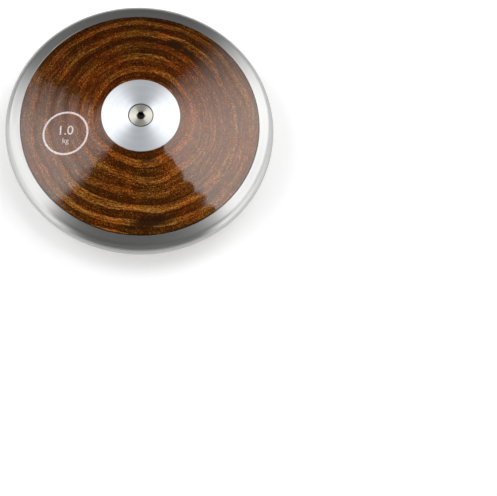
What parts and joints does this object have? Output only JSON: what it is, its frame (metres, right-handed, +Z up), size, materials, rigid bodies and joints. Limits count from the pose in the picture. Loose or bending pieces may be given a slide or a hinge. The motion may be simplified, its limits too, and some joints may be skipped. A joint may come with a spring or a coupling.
{
  "type": "throwing discus",
  "caption": "Competition throwing discus: a steel rim gripped between turned plywood sides, with flush metal centre plates pulled together by a countersunk screw.",
  "frame": {"origin": "middle of the lower face, on the surface that the disc lies on", "axes": "+Z up along the disc's axis, out of the upper face; +X through the first rim dowel"},
  "size_m": [0.181, 0.181, 0.038],
  "materials": {
    "rim_steel": "smooth turned and polished steel",
    "lacquered_plywood": "dark stained plywood, turned and gloss lacquered",
    "turned_aluminium": "fine circular turning marks, satin",
    "stainless_fastener": "satin stainless steel",
    "packing_rubber": "matte black rubber",
    "weight_steel": "plain rolled steel",
    "dowel_steel": "ground steel pin"
  },
  "bodies": {
    "root": {"rim": "rim_steel", "upper_side_plate": "lacquered_plywood", "lower_side_plate": "lacquered_plywood", "upper_centre_plate": "turned_aluminium", "lower_centre_plate": "turned_aluminium", "clamp_screw": "stainless_fastener", "sleeve_nut": "stainless_fastener", "lower_packing_ring": "packing_rubber", "core_weight": "weight_steel", "trim_washer_1": "weight_steel", "trim_washer_2": "weight_steel", "trim_washer_3": "weight_steel", "trim_washer_4": "weight_steel", "upper_packing_ring": "packing_rubber", "rim_dowel_1": "dowel_steel", "rim_dowel_2": "dowel_steel", "rim_dowel_3": "dowel_steel", "rim_dowel_4": "dowel_steel", "rim_dowel_5": "dowel_steel", "rim_dowel_6": "dowel_steel"}
  },
  "joints": []
}
